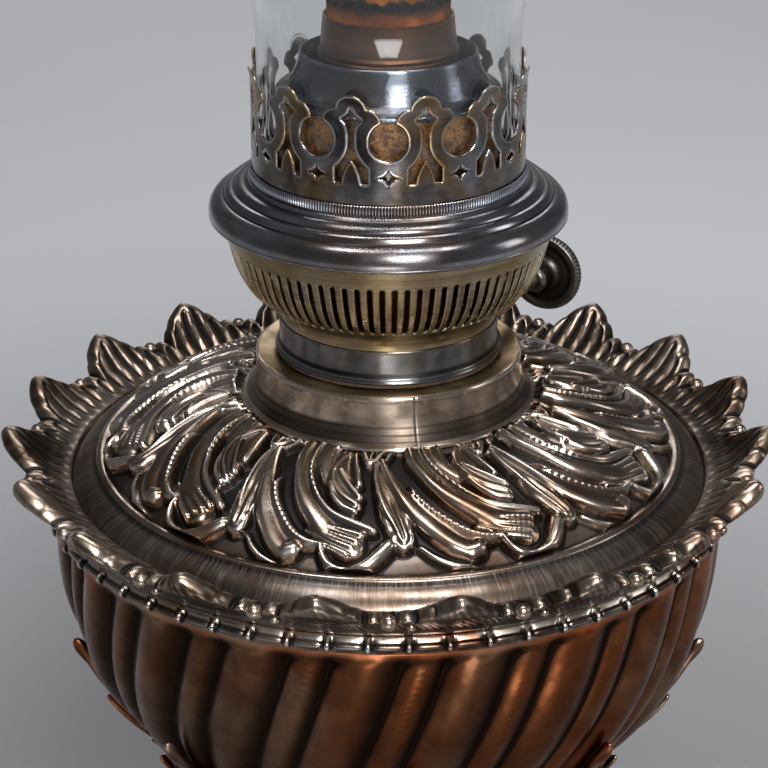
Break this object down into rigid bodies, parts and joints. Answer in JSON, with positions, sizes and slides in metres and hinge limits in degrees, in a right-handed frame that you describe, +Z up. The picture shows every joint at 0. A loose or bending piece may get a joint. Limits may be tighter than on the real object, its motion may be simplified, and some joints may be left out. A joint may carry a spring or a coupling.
{
  "type": "table lamp",
  "caption": "Oil table lamp: cast foot and stem, fluted bowl with a drop-in font and leaf crown, round-wick burner with winder, pierced gallery and glass chimney.",
  "frame": {"origin": "centre of the foot's underside, on the table", "axes": "+Z up along the lamp's axis, the pictured front faces -Y, +X to the right seen from the front"},
  "size_m": [0.1622, 0.1617, 0.5251],
  "materials": {
    "stand_copper": "worn silver plate over copper, dark patina in the hollows",
    "bowl_copper": "worn to copper, greyish sheen, dark grooves",
    "rim_silver": "worn silver plate",
    "font_silver": "silver plate with dark patina, copper on the high spots",
    "crown_silver": "dark silver plate, worn on the ribs",
    "collar_silver": "brushed silver plate, worn to brass at the edges",
    "burner_brass": "nickelled brass, yellowed",
    "dish_nickel": "turned and brushed, brown tints",
    "gallery_nickel": "sheet metal, bright edges",
    "deflector_nickel": "brushed, heat blued",
    "tube_nickel": "drawn tube, heat tinted",
    "knob_nickel": "dark, worn rim",
    "brass": "plain turned brass",
    "steel": "plain steel",
    "iron": "rough casting",
    "cork": "dark compressed washer",
    "cotton": "oil-soaked woven cotton, charred at the top",
    "glass": "clear blown glass"
  },
  "bodies": {
    "stand": {"foot": "stand_copper", "foot_weight": "iron", "tie_washer": "brass", "tie_nut": "brass", "tie_rod": "steel", "stem_spool": "stand_copper", "stem_knop": "stand_copper", "stem_neck": "stand_copper", "calyx": "stand_copper", "bowl": "bowl_copper", "bowl_washer": "brass", "bowl_nut": "brass", "bowl_rim": "rim_silver"},
    "font": {"font_tank": "brass", "font_cover": "font_silver", "leaf_crown": "crown_silver", "font_collar": "collar_silver"},
    "gasket": {"burner_gasket": "cork"},
    "burner": {"burner_base": "burner_brass", "air_basket": "burner_brass", "wick_tube": "tube_nickel", "draught_tube": "tube_nickel", "winder_cradle": "burner_brass", "winder_bush": "burner_brass"},
    "wick": {"wick": "cotton"},
    "winder": {"winder_shaft": "burner_brass", "spiked_wheels": "steel", "winder_knob": "knob_nickel"},
    "gallery_holder": {"gallery_dish": "dish_nickel", "knurled_ring": "dish_nickel", "gallery": "gallery_nickel", "deflector": "deflector_nickel"},
    "chimney": {"chimney": "glass"}
  },
  "joints": [
    {"name": "font_lift", "type": "slide", "parent": "stand", "child": "font", "axis": [0, 0, 1], "range_m": [0, 0.075]},
    {"name": "burner_rise", "type": "slide", "parent": "font", "child": "gasket", "axis": [0, 0, 1], "range_m": [0, 0.008]},
    {"name": "burner_turn", "type": "hinge", "parent": "gasket", "child": "burner", "pos_m": [0, 0, 0.2316], "axis": [0, 0, 1], "range_deg": [0, 1440]},
    {"name": "winder_turn", "type": "hinge", "parent": "burner", "child": "winder", "pos_m": [0.01371, -0.0076, 0.2356], "axis": [0.4848, 0.8746, 0], "range_deg": [-127, 63]},
    {"name": "wick_rise", "type": "slide", "parent": "burner", "child": "wick", "axis": [0, 0, 1], "range_m": [-0.008, 0.004]},
    {"name": "gallery_lift", "type": "slide", "parent": "burner", "child": "gallery_holder", "axis": [0, 0, 1], "range_m": [0, 0.055]},
    {"name": "chimney_lift", "type": "slide", "parent": "gallery_holder", "child": "chimney", "axis": [0, 0, 1], "range_m": [0, 0.06]}
  ],
  "couplings": [
    {"joint": "burner_rise", "follows": "burner_turn", "m_per_rad": 0.0003183},
    {"joint": "wick_rise", "follows": "winder_turn", "m_per_rad": 0.0036}
  ]
}
